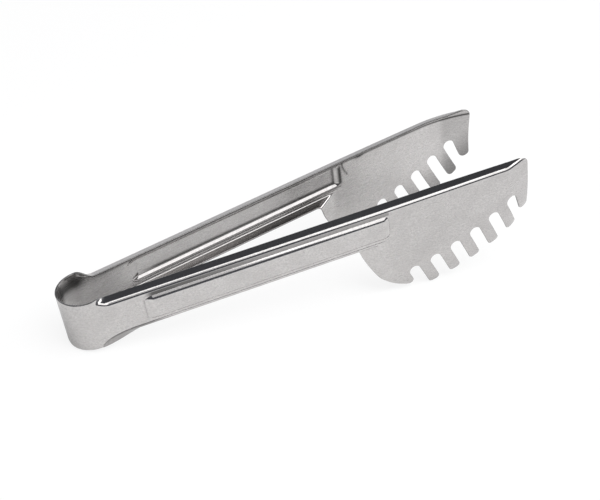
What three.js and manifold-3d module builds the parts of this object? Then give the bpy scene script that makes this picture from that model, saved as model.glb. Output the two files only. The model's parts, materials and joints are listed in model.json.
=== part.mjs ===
import * as THREE from "three";
import { mergeVertices } from "three/addons/utils/BufferGeometryUtils.js";
import Module from "manifold-3d";

// Serving tongs with comb blades, pressed and bent from one strip of stainless sheet.
// The strip turns round a bow at the back, which is the spring. Each arm is a channel with a raised
// panel, and opens out into a blade whose lower edge is punched into teeth.
// Lengths are millimetres, angles degrees. On an arm, u runs forwards from the end of the bow,
// w points inwards, towards the other arm, and v points up from the arm's upper bend.

// The strip
const SHEET = 0.8;
const BOW_RADIUS = 10.3;
const BOW_SPAN = 90;
const SPLAY = 5.2;
const ARM_LENGTH = 109.5;
const SHOULDER_LENGTH = 19.5;
const SEAM = 0.3;

// The folded edges of the arms
const WEB_HEIGHT = 16.1;
const FLANGE = 4.55;
const FOLD_ANGLE = 76;
const FOLD_RADIUS = 0.9;
const UPPER_FOLD_START = -0.5;
const UPPER_FOLD_RUN = 9;
const LOWER_FOLD_START = 1.5;
const LOWER_FOLD_RUN = 16.5;

// The raised panel
const PANEL_START = 20.7;
const PANEL_REACH = 15.6;
const PANEL_LEDGE = 1.15;
const PANEL_DEPTH = 1.5;
const PANEL_WALL = 1.05;
const PANEL_RAMP = 3.6;

// The blade, from its root at the end of the arm
const BLADE_LENGTH = 82.2;
const BELLY_START = 3.3;
const BELLY_BULGE = 4.5;
const HEEL_RISE = 3.6;
const GUSSET_REACH = 12;
const GUSSET_FOOT = 2.9;
const GUSSET_WIDTH = 2.2;
const FRONT_CORNER_RADIUS = 3;
const FRONT_FADE = 10;
const FRONT_LIP = 0.4;
const FRONT_CURL = 6;
const FRONT_CURL_RUN = 22;
const FRONT_CURL_HEIGHT = 50;

// The comb
const SLOT_WIDTH = 5;
const SLOT_PITCH = 10.25;
const SLOT_TILT = 23.5;
const FIRST_SLOT_U = 30.7;
const COMB_DROP = 47.5;
const COMB_RADIUS = 92;
const COMB_CENTRE_U = 23.3;
const SLOT_DEPTH = 16.3;
const SLOT_ARC_RADIUS = 150;
const TOOTH_CORNER_RADIUS = 1.8;
const TOOTH_CURL = 2.4;
const HORN_LENGTH = 12.4;
const HORN_WIDTH = 2.6;
const HORN_ROOM = 3;

const STEEL = { color: 0xc3c1be, roughness: 0.32, metalness: 1 };

const radians = THREE.MathUtils.degToRad;
const smooth = (share) => THREE.MathUtils.smoothstep(share, 0, 1);
const ramp = (share) => THREE.MathUtils.clamp(share, 0, 1);

// Lines across the strip, measured from its middle
const FOLD_TURN = radians(FOLD_ANGLE);
const FOLD_ARC = FOLD_RADIUS * FOLD_TURN;
const MIDDLE_V = -WEB_HEIGHT / 2;
const WEB_EDGE = WEB_HEIGHT / 2 - FOLD_RADIUS * Math.tan(FOLD_TURN / 2);
const STRIP_EDGE = WEB_EDGE + FLANGE;
const STRIP_BOTTOM = MIDDLE_V - STRIP_EDGE;
const PANEL_FOOT = WEB_EDGE - PANEL_LEDGE;
const PANEL_RIM = PANEL_FOOT - PANEL_WALL;

// Places along the arm
const ROOT = ARM_LENGTH;
const FRONT = ROOT + BLADE_LENGTH;
const PANEL_END = ROOT + PANEL_REACH;
const BOW_END_U = -BOW_RADIUS * radians(90 - BOW_SPAN / 2 - SPLAY);
const GUSSET_BACK = ROOT + GUSSET_FOOT - GUSSET_WIDTH / 2;
const GUSSET_HEEL = ROOT + GUSSET_FOOT + GUSSET_WIDTH / 2;
const GUSSET_FRONT = ROOT + GUSSET_REACH + GUSSET_WIDTH / 2;
const CURL_START = FRONT - FRONT_CURL_RUN;

// The comb's own axes: along lies from slot to slot, down points out of the slots
const ALONG = new THREE.Vector2(Math.cos(radians(SLOT_TILT)), Math.sin(radians(SLOT_TILT)));
const DOWN = new THREE.Vector2(ALONG.y, -ALONG.x);
const COMB_CENTRE = new THREE.Vector2(ROOT + COMB_CENTRE_U, COMB_RADIUS - COMB_DROP);
const FIRST_SLOT = new THREE.Vector2(ROOT + FIRST_SLOT_U, -COMB_DROP).dot(ALONG);
const COMB_MIDDLE = COMB_CENTRE.dot(ALONG);
const COMB_LOWEST = COMB_CENTRE.dot(DOWN) + COMB_RADIUS;
const COMB_RUN = (BLADE_LENGTH - FIRST_SLOT_U - HORN_ROOM) / ALONG.x;
const SLOT_COUNT = Math.floor(COMB_RUN / SLOT_PITCH) + 1;
const TOOTH_WIDTH = SLOT_PITCH - SLOT_WIDTH;
const TOOTH_ROUND = Math.min(TOOTH_CORNER_RADIUS, 0.45 * TOOTH_WIDTH);

const slotPlace = (index) => FIRST_SLOT + index * SLOT_PITCH;
const fromComb = (along, down) => ALONG.clone().multiplyScalar(along).addScaledVector(DOWN, down);

// How far down the slots end, on a flat arc across the comb
function slotEnd(along) {
  const across = along - COMB_MIDDLE;
  return COMB_LOWEST - SLOT_DEPTH - across * across / (2 * SLOT_ARC_RADIUS);
}

// How far down the tips of the teeth lie, on the round lower edge of the blade
function toothTip(along) {
  const across = along - COMB_MIDDLE;
  return COMB_CENTRE.dot(DOWN) + Math.sqrt(COMB_RADIUS ** 2 - across * across);
}

// A strip of sheet led round a fold: x from the start of the fold gives [inwards, onwards]
function folded(x, turn) {
  const angle = Math.min(x / FOLD_RADIUS, turn);
  const straight = x - angle * FOLD_RADIUS;
  return [
    FOLD_RADIUS * (1 - Math.cos(angle)) + straight * Math.sin(angle),
    FOLD_RADIUS * Math.sin(angle) + straight * Math.cos(angle),
  ];
}

const upperTurn = (u) => FOLD_TURN * smooth((u - UPPER_FOLD_START) / UPPER_FOLD_RUN);
const lowerTurn = (u) => FOLD_TURN * smooth((u - LOWER_FOLD_START) / LOWER_FOLD_RUN);
const frontFade = (u) => smooth((u - FRONT + FRONT_FADE) / FRONT_FADE);

// The lower fold runs out at the blade along a slanting crease
function lowFoldShare(u, x) {
  const crease = ROOT + GUSSET_REACH + (GUSSET_FOOT - GUSSET_REACH) * x / FLANGE;
  return smooth((crease - u) / GUSSET_WIDTH + 0.5);
}

// Outward height of the raised panel
function panelHeight(u, s) {
  const side = ramp((PANEL_FOOT - Math.abs(s)) / PANEL_WALL);
  const back = ramp((u - PANEL_START) / PANEL_RAMP);
  const front = ramp((PANEL_END - u) / PANEL_RAMP);
  return PANEL_DEPTH * Math.min(side, back, front);
}

// Inward curl of the blade's front end and of its teeth
function curl(u, v) {
  const front = Math.max(0, (u - CURL_START) / FRONT_CURL_RUN);
  const height = 1 + v / FRONT_CURL_HEIGHT;
  const place = new THREE.Vector2(u, v);
  const tooth = Math.max(0, place.dot(DOWN) - slotEnd(place.dot(ALONG))) / SLOT_DEPTH;
  return FRONT_CURL * front ** 2 * height + (u > ROOT ? TOOTH_CURL * tooth ** 2 : 0);
}

// The pressed sheet's middle surface: s runs up the flat strip from its middle
function pressed(u, s) {
  const x = Math.abs(s) - WEB_EDGE;
  let w = -panelHeight(u, s);
  let v = MIDDLE_V + s;
  if (x > 0 && s > 0) {
    const left = THREE.MathUtils.lerp(1, FRONT_LIP / FLANGE, frontFade(u));
    const [inwards, upwards] = folded(x * left, upperTurn(u));
    w = inwards;
    v = MIDDLE_V + WEB_EDGE + upwards;
  } else if (x > 0) {
    const share = lowFoldShare(u, x);
    const [inwards, downwards] = folded(x, lowerTurn(u));
    w = share * inwards;
    v = MIDDLE_V - WEB_EDGE - THREE.MathUtils.lerp(x, downwards, share);
  }
  return [w + curl(u, v), v];
}

// The same surface in space, wrapped round the bow where u is negative
function onArm(u, s) {
  const [w, v] = pressed(u, s);
  const angle = Math.max(0, -u) / BOW_RADIUS;
  const radius = BOW_RADIUS - w;
  return new THREE.Vector3(
    Math.max(0, u) - radius * Math.sin(angle),
    BOW_RADIUS - radius * Math.cos(angle),
    v,
  );
}

function spaced(from, to, step) {
  const count = Math.max(1, Math.ceil((to - from) / step - 1e-6));
  return Array.from({ length: count + 1 }, (_, index) => from + (to - from) * index / count);
}

// A closed sheet of even thickness about a grid of points on its middle surface.
// Cells for which keep is false are left out, and every open edge gets a wall.
function sheetSolid(lines, rows, middle, keep = () => true) {
  const points = lines.map((u) => rows.map((s) => middle(u, s)));
  const normals = lines.map(() => rows.map(() => []));
  const cells = [];
  for (let i = 0; i + 1 < lines.length; i += 1) {
    for (let j = 0; j + 1 < rows.length; j += 1) {
      if (!keep(lines[i], rows[j])) continue;
      const corners = [[i, j], [i, j + 1], [i + 1, j + 1], [i + 1, j]];
      const [a, b, c, d] = corners.map(([m, n]) => points[m][n]);
      const normal = c.clone().sub(a).cross(d.clone().sub(b)).normalize();
      corners.forEach(([m, n]) => normals[m][n].push(normal));
      cells.push(corners.map(([m, n]) => m * rows.length + n));
    }
  }
  const place = [];
  const half = lines.length * rows.length;
  for (const side of [0.5, -0.5]) {
    points.forEach((line, i) => line.forEach((point, j) => {
      const faces = normals[i][j];
      const sum = faces.reduce((total, face) => total.add(face), new THREE.Vector3());
      const mitre = faces.length ? side * SHEET * faces.length / sum.lengthSq() : 0;
      place.push(...point.clone().addScaledVector(sum, mitre).toArray());
    }));
  }
  const open = new Map();
  for (const cell of cells) {
    cell.forEach((from, k) => {
      const to = cell[(k + 1) % 4];
      if (!open.delete(`${to} ${from}`)) open.set(`${from} ${to}`, [from, to]);
    });
  }
  const index = [];
  for (const [a, b, c, d] of cells) {
    index.push(a, b, c, a, c, d);
    index.push(half + a, half + c, half + b, half + a, half + d, half + c);
  }
  for (const [a, b] of open.values()) {
    index.push(a, half + b, b, a, half + a, half + b);
  }
  const geometry = new THREE.BufferGeometry();
  geometry.setAttribute("position", new THREE.Float32BufferAttribute(place, 3));
  geometry.setIndex(index);
  return geometry;
}

// Grid lines between two ends, without any that would make slivers
function between(from, to, wanted) {
  const lines = [from];
  for (const u of [...wanted].sort((a, b) => a - b)) {
    if (u - lines.at(-1) > SLIVER && to - u > SLIVER) lines.push(u);
  }
  return [...lines, to];
}

// Spacing of the grid lines
const SLIVER = SHEET / 5;
const BEND_STEP = 1.5;
const FOLD_STEP = 2;
const FOLD_FACETS = 3;
const GUSSET_STEP = 2.2;
const BLADE_STEP = 9;
const CURL_STEP = 3.5;
const ARC_FACETS = 3;

const LINES = [
  ...spaced(BOW_END_U, 0, BEND_STEP),
  ...spaced(0, LOWER_FOLD_START + LOWER_FOLD_RUN, FOLD_STEP),
  PANEL_START,
  PANEL_START + PANEL_RAMP,
  ...spaced(GUSSET_BACK, GUSSET_HEEL, GUSSET_WIDTH / 2),
  ...spaced(GUSSET_HEEL, GUSSET_FRONT, GUSSET_STEP),
  PANEL_END - PANEL_RAMP,
  PANEL_END,
  ...spaced(PANEL_END, CURL_START, BLADE_STEP),
  ...spaced(CURL_START, FRONT, CURL_STEP),
];

// Lines across the strip: folds, panel walls and, on the blade, the comb
const FOLD_ROWS = [...spaced(0, FOLD_ARC, FOLD_ARC / FOLD_FACETS), FLANGE].map((x) => WEB_EDGE + x);
const PANEL_ROWS = [PANEL_FOOT, PANEL_RIM];
const STRIP_ROWS = [...FOLD_ROWS, ...PANEL_ROWS].flatMap((s) => [-s, s]).sort((a, b) => a - b);
const BLADE_DEPTH = COMB_DROP + 2 * SHEET + MIDDLE_V;
const BLADE_ROWS = [
  ...spaced(STRIP_EDGE, BLADE_DEPTH, BLADE_STEP / 2).slice(1).map((s) => -s),
  ...spaced(WEB_EDGE + FOLD_ARC, STRIP_EDGE, GUSSET_STEP).slice(1, -1).map((s) => -s),
  ...STRIP_ROWS,
].sort((a, b) => a - b);

// Carries a path along straight sides to a corner and round it on an arc
function roundCorner(path, before, corner, after, radius) {
  const back = before.clone().sub(corner).normalize();
  const on = after.clone().sub(corner).normalize();
  const half = Math.acos(THREE.MathUtils.clamp(back.dot(on), -1, 1)) / 2;
  const centre = back.clone().add(on).normalize().multiplyScalar(radius / Math.sin(half)).add(corner);
  const [start, end] = [back, on].map((way) => {
    const touch = corner.clone().addScaledVector(way, radius / Math.tan(half));
    return touch.sub(centre).angle();
  });
  path.absarc(centre.x, centre.y, radius, start, end, back.cross(on) > 0);
}

// Carries a path on an arc that bulges out from the straight line between two points, and stops
// short of the second one by a given length. Returns the point reached.
function bulge(path, from, to, height, short) {
  const chord = to.clone().sub(from);
  const radius = (chord.lengthSq() / 4 + height ** 2) / (2 * height);
  const inwards = new THREE.Vector2(-chord.y, chord.x).setLength(radius - height);
  const centre = from.clone().add(to).multiplyScalar(0.5).add(inwards);
  const end = to.clone().sub(centre).angle() - short / radius;
  path.absarc(centre.x, centre.y, radius, from.clone().sub(centre).angle(), end, false);
  return path.currentPoint.clone();
}

// The blade's punched outline, with the round belly behind the comb and the horn in front of it
function bladeOutline() {
  const outline = new THREE.Shape();
  const wall = (index, side) => slotPlace(index) + side * SLOT_WIDTH / 2;
  const tip = (along) => fromComb(along, toothTip(along));
  const heel = fromComb(wall(0, -1), toothTip(wall(0, -1)) - HEEL_RISE);
  const bellyStart = new THREE.Vector2(ROOT + BELLY_START, STRIP_BOTTOM - SHEET);
  outline.moveTo(ROOT - SHEET, FLANGE);
  outline.lineTo(ROOT - SHEET, bellyStart.y);
  let before = bulge(outline, bellyStart, heel, BELLY_BULGE, 3 * TOOTH_ROUND);
  for (let index = 0; index < SLOT_COUNT; index += 1) {
    const corner = index ? tip(wall(index, -1)) : heel;
    const end = slotEnd(slotPlace(index)) + SLOT_WIDTH / 2;
    const centre = fromComb(slotPlace(index), end);
    const turn = radians(SLOT_TILT);
    roundCorner(outline, before, corner, fromComb(wall(index, -1), end), TOOTH_ROUND);
    outline.absarc(centre.x, centre.y, SLOT_WIDTH / 2, turn + Math.PI, turn, true);
    before = fromComb(wall(index, 1), end);
    if (index + 1 < SLOT_COUNT) {
      const next = tip(wall(index, 1));
      roundCorner(outline, before, next, tip(wall(index + 1, -1)), TOOTH_ROUND);
      before = next;
    }
  }
  const last = wall(SLOT_COUNT - 1, 1);
  const hornTip = slotEnd(slotPlace(SLOT_COUNT - 1)) + HORN_LENGTH;
  const horn = fromComb(last, hornTip);
  const hornFront = fromComb(last + HORN_WIDTH, hornTip);
  const corner = new THREE.Vector2(FRONT, 0);
  const fade = new THREE.Vector2(FRONT - FRONT_FADE, FLANGE);
  roundCorner(outline, before, horn, hornFront, HORN_WIDTH / 2);
  roundCorner(outline, horn, hornFront, corner, HORN_WIDTH / 2);
  roundCorner(outline, hornFront, corner, fade, FRONT_CORNER_RADIUS);
  outline.lineTo(fade.x, fade.y);
  outline.closePath();
  return outline;
}

const wasm = await Module();
wasm.setup();

function toManifold(geometry) {
  const shared = geometry.clone();
  shared.deleteAttribute("normal");
  shared.deleteAttribute("uv");
  const merged = mergeVertices(shared);
  return new wasm.Manifold(new wasm.Mesh({
    numProp: 3,
    vertProperties: new Float32Array(merged.attributes.position.array),
    triVerts: new Uint32Array(merged.index.array),
  }));
}

function fromManifold(solid) {
  const mesh = solid.getMesh();
  const geometry = new THREE.BufferGeometry();
  geometry.setAttribute("position", new THREE.BufferAttribute(mesh.vertProperties, 3));
  geometry.setIndex(new THREE.BufferAttribute(mesh.triVerts, 1));
  return geometry;
}

function bladeSolid() {
  const keep = (u, s) => u > GUSSET_HEEL - SLIVER || s > -STRIP_EDGE - SLIVER;
  const sheet = sheetSolid(between(ROOT + SEAM / 2, FRONT + SHEET, LINES), BLADE_ROWS, onArm, keep);
  const outer = PANEL_DEPTH + 2 * SHEET;
  const inner = FRONT_CURL + TOOTH_CURL + 2 * FLANGE;
  const punch = new THREE.ExtrudeGeometry(bladeOutline(), {
    depth: outer + inner,
    curveSegments: ARC_FACETS,
    bevelEnabled: false,
  });
  punch.rotateX(Math.PI / 2).translate(0, inner, 0);
  return fromManifold(toManifold(sheet).intersect(toManifold(punch)));
}

function steelMesh(name, geometry) {
  const mesh = new THREE.Mesh(geometry, new THREE.MeshStandardMaterial(STEEL));
  mesh.name = name;
  return mesh;
}

// The bow's middle surface about the bow's own axis
function onBow(angle, s) {
  return new THREE.Vector3(-BOW_RADIUS * Math.sin(angle), -BOW_RADIUS * Math.cos(angle), MIDDLE_V + s);
}

const bowEnd = radians(90 - BOW_SPAN / 2);
const bowLines = spaced(bowEnd, Math.PI - bowEnd, BEND_STEP / BOW_RADIUS);
const bow = sheetSolid(bowLines.reverse(), [-STRIP_EDGE, STRIP_EDGE], onBow);

const shoulderLines = between(BOW_END_U + SEAM, SHOULDER_LENGTH - SEAM / 2, LINES);
const armLines = between(SHOULDER_LENGTH + SEAM / 2, ROOT - SEAM / 2, LINES);
const pieces = {
  shoulder: sheetSolid(shoulderLines, STRIP_ROWS, onArm),
  arm: sheetSolid(armLines, STRIP_ROWS, onArm),
  blade: bladeSolid(),
};

// One side of the tongs, splayed from the end of the bow
function side(name) {
  const half = new THREE.Group();
  const splayed = new THREE.Group();
  const splay = radians(SPLAY);
  splayed.position.set(-BOW_RADIUS * Math.sin(splay), -BOW_RADIUS * Math.cos(splay), 0);
  splayed.rotation.z = -splay;
  for (const [piece, geometry] of Object.entries(pieces)) {
    splayed.add(steelMesh(`${name}_${piece}`, geometry));
  }
  half.add(splayed);
  return half;
}

const near = side("near");
const far = side("far");
far.scale.y = -1;

const resting = new THREE.Group();
resting.add(steelMesh("spring_bow", bow), near, far);
resting.updateMatrixWorld(true);

// At rest the tongs lie on the back of the bow and on the lowest teeth, so the nose points up
function restPitch() {
  const back = -BOW_RADIUS - SHEET / 2;
  const blade = near.getObjectByName("near_blade");
  const place = blade.geometry.attributes.position;
  const point = new THREE.Vector3();
  let pitch = -Math.PI / 2;
  for (let index = 0; index < place.count; index += 1) {
    point.fromBufferAttribute(place, index).applyMatrix4(blade.matrixWorld);
    pitch = Math.max(pitch, Math.atan2(STRIP_BOTTOM - point.z, point.x - back));
  }
  return pitch;
}

// The origin is under the middle of the tongs, on the surface that they lie on
resting.rotation.y = -restPitch();
const box = new THREE.Box3().setFromObject(resting, true);
const middle = box.getCenter(new THREE.Vector3());
resting.position.set(-middle.x, -middle.y, -box.min.z);

const tongs = new THREE.Group();
tongs.add(resting);

export default tongs;
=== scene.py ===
# %% [markdown]
# Serving tongs with comb blades. The real ones are a single strip of stainless sheet: a blank is
# punched flat, pressed, and bent round a bow that is also the spring. This lesson follows the same
# order. It draws the blank on paper, lays points over it, and moves every point to its place on the
# bent sheet with one formula.

import json

import bpy
import numpy as np
from mathutils import Euler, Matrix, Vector
from mathutils.geometry import delaunay_2d_cdt


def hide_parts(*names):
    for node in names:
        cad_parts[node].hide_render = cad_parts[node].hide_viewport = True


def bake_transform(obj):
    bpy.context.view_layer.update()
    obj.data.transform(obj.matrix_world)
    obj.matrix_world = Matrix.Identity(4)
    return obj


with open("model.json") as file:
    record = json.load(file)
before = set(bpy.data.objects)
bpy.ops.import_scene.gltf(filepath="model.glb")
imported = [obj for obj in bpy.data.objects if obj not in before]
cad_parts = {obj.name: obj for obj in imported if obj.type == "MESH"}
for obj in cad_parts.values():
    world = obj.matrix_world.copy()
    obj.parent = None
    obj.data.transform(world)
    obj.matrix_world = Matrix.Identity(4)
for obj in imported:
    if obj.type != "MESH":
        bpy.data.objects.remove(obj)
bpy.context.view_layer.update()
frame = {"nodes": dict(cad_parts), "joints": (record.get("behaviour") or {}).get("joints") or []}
joints = {joint["name"]: joint for joint in frame["joints"]}
print("nodes:", sorted(frame["nodes"]))

# %% [markdown]
# The camera comes first, because every later look is compared with the photograph. It stands in front
# of the near arm and above it, a little turned about its own axis. Its distance is short, so the
# perspective is strong enough to matter: a long lens from far away would make the two blades too alike
# in size.

# %% Camera
CAMERA_PLACE = (-0.19539, -0.36633, 0.31038)
CAMERA_AZIMUTH = 28.554
CAMERA_ELEVATION = 35.135
CAMERA_ROLL = 3.283
CAMERA_LENS = 72.764
CAMERA_SENSOR = 36

camera_data = bpy.data.cameras.new("camera")
camera_data.lens = CAMERA_LENS
camera_data.sensor_width = CAMERA_SENSOR
camera = bpy.data.objects.new("camera", camera_data)
aim = Euler(np.radians((90 - CAMERA_ELEVATION, 0, -CAMERA_AZIMUTH)), "XYZ").to_matrix()
roll = Euler(np.radians((0, 0, CAMERA_ROLL)), "XYZ").to_matrix()
camera.matrix_world = (aim @ roll).to_4x4()
camera.location = CAMERA_PLACE
bpy.context.scene.collection.objects.link(camera)
bpy.context.scene.camera = camera
print("camera at", CAMERA_PLACE)

# %% [markdown]
# The sizes of the strip are in millimetres and degrees. On an arm, u runs forwards from the end of the
# bow, w points inwards to the other arm, and v points up from the top of the web. On the flat blank, s
# runs up from the middle of the strip. The main sizes are those of the solid pieces, so the finished
# sheet lies where they lie. The folds are rounder here and the punched edges are rounded, as on real
# pressed sheet.

# %% Sizes of the strip
MM = 0.001
TINY = 1e-9
SHEET = 0.8
EDGE_ROUND = 0.26
BOW_RADIUS = 10.3
SPLAY = 5.2
ARM_LENGTH = 109.5
WEB_HEIGHT = 16.1
FLANGE_REACH = 4.06
FOLD_TURN = np.radians(76)
UPPER_RADIUS = 1.6
LOWER_RADIUS = 1.1
BLADE_LENGTH = 82.2

MIDDLE_V = -WEB_HEIGHT / 2
UPPER_TANGENT, LOWER_TANGENT = (radius * np.tan(FOLD_TURN / 2) for radius in (UPPER_RADIUS, LOWER_RADIUS))
UPPER_ARC, LOWER_ARC = (radius * FOLD_TURN for radius in (UPPER_RADIUS, LOWER_RADIUS))
UPPER_BEND, LOWER_BEND = (WEB_HEIGHT / 2 - tangent for tangent in (UPPER_TANGENT, LOWER_TANGENT))
UPPER_FLANGE = UPPER_ARC + FLANGE_REACH - UPPER_TANGENT
LOWER_FLANGE = LOWER_ARC + FLANGE_REACH - LOWER_TANGENT
UPPER_EDGE = UPPER_BEND + UPPER_FLANGE
LOWER_EDGE = LOWER_BEND + LOWER_FLANGE
ROOT = ARM_LENGTH
FRONT = ROOT + BLADE_LENGTH
BACK = -BOW_RADIUS * np.radians(90 - SPLAY)


def smooth(share):
    """An even ease from 0 to 1: three times the square less twice the cube."""
    share = np.clip(share, 0, 1)
    return share * share * (3 - 2 * share)


def quarter(share, power=2.0):
    """A quarter of an ellipse, steep where it leaves 0 and level at 1; a lower power makes it leaner."""
    return (1 - (1 - np.clip(share, 0, 1)) ** power) ** (1 / power)


print("strip", round(UPPER_EDGE + LOWER_EDGE, 2), "mm wide, web", WEB_HEIGHT)

# %% [markdown]
# A fold on pressed sheet doesn't start all at once. Its crease leaves the edge of the strip in a curve
# and settles at its final height, while the flange beyond it turns further and further in. The upper
# fold starts on a slant, later at its free edge than at its crease, which makes the nose beside the
# bow. At the front of the blade the flange is trimmed away, so the crease runs straight on to the
# corner. The lower fold ends in a gusset: a slanted line at which the flange swings back into the flat
# blade.

# %% Folds
UPPER_FOLD_START = 0.6
UPPER_CREASE_RUN = 7
UPPER_CREASE_POWER = 1.5
UPPER_TURN_RUN = 5.5
NOSE_HEIGHT = 1.8
NOSE_SLANT = 0.5
LOWER_FOLD_START = 1.0
LOWER_CREASE_RUN = 15
LOWER_TURN_RUN = 25
FRONT_TRIM_STATIONS = (-40, -11.2, -4.5, -2, 0)
FRONT_TRIM = (0, 0.6, 2.65, 3.95, 4.7)
FRONT_RISE = 0.25
FRONT_RISE_START = 7
FRONT_RISE_RUN = 4
GUSSET_REACH = 12
GUSSET_FOOT = 2.9
GUSSET_WIDTH = 3.6
RECOVERY = 28
FOLD_STEPS = 96


def upper_crease(u):
    """Height where the upper fold begins: down a quarter ellipse, up a little at the front."""
    drop = UPPER_FLANGE * quarter((u - UPPER_FOLD_START) / UPPER_CREASE_RUN, UPPER_CREASE_POWER)
    rise = FRONT_RISE * smooth((u - FRONT + FRONT_RISE_START) / FRONT_RISE_RUN)
    return UPPER_EDGE - drop + rise


def lower_crease(u):
    """Distance below the blank's middle where the lower fold begins: up along a quarter ellipse."""
    return LOWER_EDGE - LOWER_FLANGE * quarter((u - LOWER_FOLD_START) / LOWER_CREASE_RUN)


def top_edge(u):
    """Upper edge of the blank: straight, and trimmed down to the crease at the front."""
    return UPPER_EDGE - np.interp(u - FRONT, FRONT_TRIM_STATIONS, FRONT_TRIM)


def steps_along(x, angle_at):
    """Leads a length x over bent sheet in small steps at the sheet's angle: inwards and onwards."""
    share = (np.arange(FOLD_STEPS) + 0.5) / FOLD_STEPS
    weight = 2 * share / FOLD_STEPS
    angle = angle_at(x[..., None] * share ** 2)
    return x * (np.sin(angle) @ weight), x * (np.cos(angle) @ weight)


def upper_fold(u, x):
    """Leads a length x over the upper flange, whose fold starts later near its free edge."""
    u = u[..., None]

    def angle_at(place):
        """The angle of the round bend, up to the turn that the fold has reached at this u."""
        start = UPPER_FOLD_START + NOSE_SLANT * np.maximum(0, place - NOSE_HEIGHT)
        return np.minimum(place / UPPER_RADIUS, FOLD_TURN * smooth((u - start) / UPPER_TURN_RUN))

    return steps_along(x, angle_at)


def gusset_line(x):
    """Where the lower fold ends: a slanted line from the bend back to the flange's free edge."""
    return ROOT + GUSSET_REACH + (GUSSET_FOOT - GUSSET_REACH) * x / LOWER_FLANGE


def gusset_share(u, x):
    """How much of the lower fold is left: all of it behind that line, none in front."""
    return smooth((gusset_line(x) - u) / GUSSET_WIDTH + 0.5)


def lower_fold(u, x):
    """Leads a length x over the lower flange and down the blade."""
    u = u[..., None]
    turn = FOLD_TURN * np.clip((u - LOWER_FOLD_START) / LOWER_TURN_RUN, 0, 1)
    shelf = LOWER_FLANGE * np.clip((ROOT + GUSSET_REACH - u) / (GUSSET_REACH - GUSSET_FOOT), 0, 1)

    def angle_at(place):
        """The fold's angle, none past the slanted line, less a lean that makes its inward step good."""
        past = np.clip((place - shelf) / RECOVERY, 0, 1)
        back = 2 * shelf * np.sin(FOLD_TURN) / RECOVERY * np.sin(np.pi * past) ** 2
        return np.minimum(place / LOWER_RADIUS, turn) * gusset_share(u, place) - back

    return steps_along(x, angle_at)


print("creases settle at", round(UPPER_BEND, 2), "and", round(-LOWER_BEND, 2), "mm from the middle")

# %% [markdown]
# The raised panel stiffens the arm and gives the fingers a seat. A die presses it out, so its walls are
# never sharp. Each wall is a short list of places across it and slopes in degrees there, and the slopes
# are summed up to a height. The upper wall has a long round rim and the lower wall a wide even slope,
# so that one catches the light as a thin line and the other as a broad one. At the corners, the
# distances to the side and to the end are joined along a circle, because the lesser of them would leave
# a mitre. The edge of the die leaves a thin groove beside the bends.

# %% Raised panel
PANEL_REACH = 15.6
PANEL_END = ROOT + PANEL_REACH
WALL_FOOT = 5.6
WALL_SAMPLES = 400
UPPER_WALL = ((0, 0), (0.4, 44), (0.75, 44), (2.2, 0))
LOWER_WALL = ((0, 0), (0.25, 44), (1.1, 44), (1.9, 0))
REAR_WALL = ((0, 0), (0.6, 22), (3.2, 22), (3.8, 0))
FRONT_WALL = ((0, 0), (0.4, 24), (2.2, 24), (2.7, 0))
WITNESS_DEPTH = 0.15
WITNESS_WIDTH = 0.27
WITNESS_ABOVE = 0.35
WITNESS_FADE = 4


def hump(x, centre, width):
    """A round hump of height 1: e to minus the square of the distance over the half width."""
    return np.exp(-((x - centre) / width) ** 2)


def witness(distance):
    """The thin groove that the edge of a die leaves beside a bend: a hump over the distance from it."""
    return WITNESS_DEPTH * hump(distance, 0, WITNESS_WIDTH)


def wall_profile(stations):
    """Height across a wall from places and slopes along it: the tangent of the slope is summed up."""
    places, slopes = np.array(stations).T
    across = np.linspace(0, places[-1], WALL_SAMPLES)
    height = np.cumsum(np.tan(np.radians(np.interp(across, places, slopes)))) * across[1]
    return places[-1], height


UPPER_WIDTH, upper_rise = wall_profile(UPPER_WALL)
LOWER_WIDTH, lower_rise = wall_profile(LOWER_WALL)
REAR_WIDTH, rear_rise = wall_profile(REAR_WALL)
FRONT_WIDTH, front_rise = wall_profile(FRONT_WALL)
PANEL_DEPTH = upper_rise[-1]


def climbed(way_in, rise):
    """Share of the panel's height at a share of the way across a wall."""
    return np.interp(way_in, np.linspace(0, 1, len(rise)), rise / rise[-1])


def panel_height(u, s, start):
    """Outward height of the panel: distances to sides and ends, joined along a circle at the corners."""
    side_width = np.where(s > 0, UPPER_WIDTH, LOWER_WIDTH)
    from_side = np.maximum(0, 1 - (WALL_FOOT - np.abs(s)) / side_width)
    from_rear = np.maximum(0, 1 - (u - start) / REAR_WIDTH)
    from_front = np.maximum(0, 1 - (PANEL_END - u) / FRONT_WIDTH)
    at_rear = from_rear > from_front
    from_end = np.where(at_rear, from_rear, from_front)
    way_in = 1 - np.hypot(from_side, from_end)
    share = from_side ** 2 / np.maximum(from_side ** 2 + from_end ** 2, TINY)
    by_side = np.where(s > 0, climbed(way_in, upper_rise), climbed(way_in, lower_rise))
    by_end = np.where(at_rear, climbed(way_in, rear_rise), climbed(way_in, front_rise))
    end_width = np.where(at_rear, REAR_WIDTH, FRONT_WIDTH)
    foot = way_in * (end_width + (side_width - end_width) * share)
    groove = witness(foot) * np.where(s > 0, 1, 1 - share)
    return PANEL_DEPTH * (by_end + (by_side - by_end) * share) - groove


print("panel stands out", round(PANEL_DEPTH, 2), "mm")

# %% [markdown]
# The comb has its own axes, turned against the strip: along runs from slot to slot, and down points out
# of the slots. The blade is almost flat. Its teeth and its front end curl inwards, which is how the
# tongs hold on to what they pick up.

# %% Comb axes and curl
SLOT_WIDTH = 5
SLOT_PITCH = 10.08
SLOT_COUNT = 6
SLOT_TILT = np.radians(23.5)
FIRST_SLOT_U = 30.7
COMB_DROP = 47.42
COMB_RADIUS = 92
COMB_CENTRE_U = 23.3
SLOT_DEPTH = 16.3
SLOT_ARC_RADIUS = 150
TOOTH_CURL = 2.4
LEAN = 0.66
LEAN_RUN = 66

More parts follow.
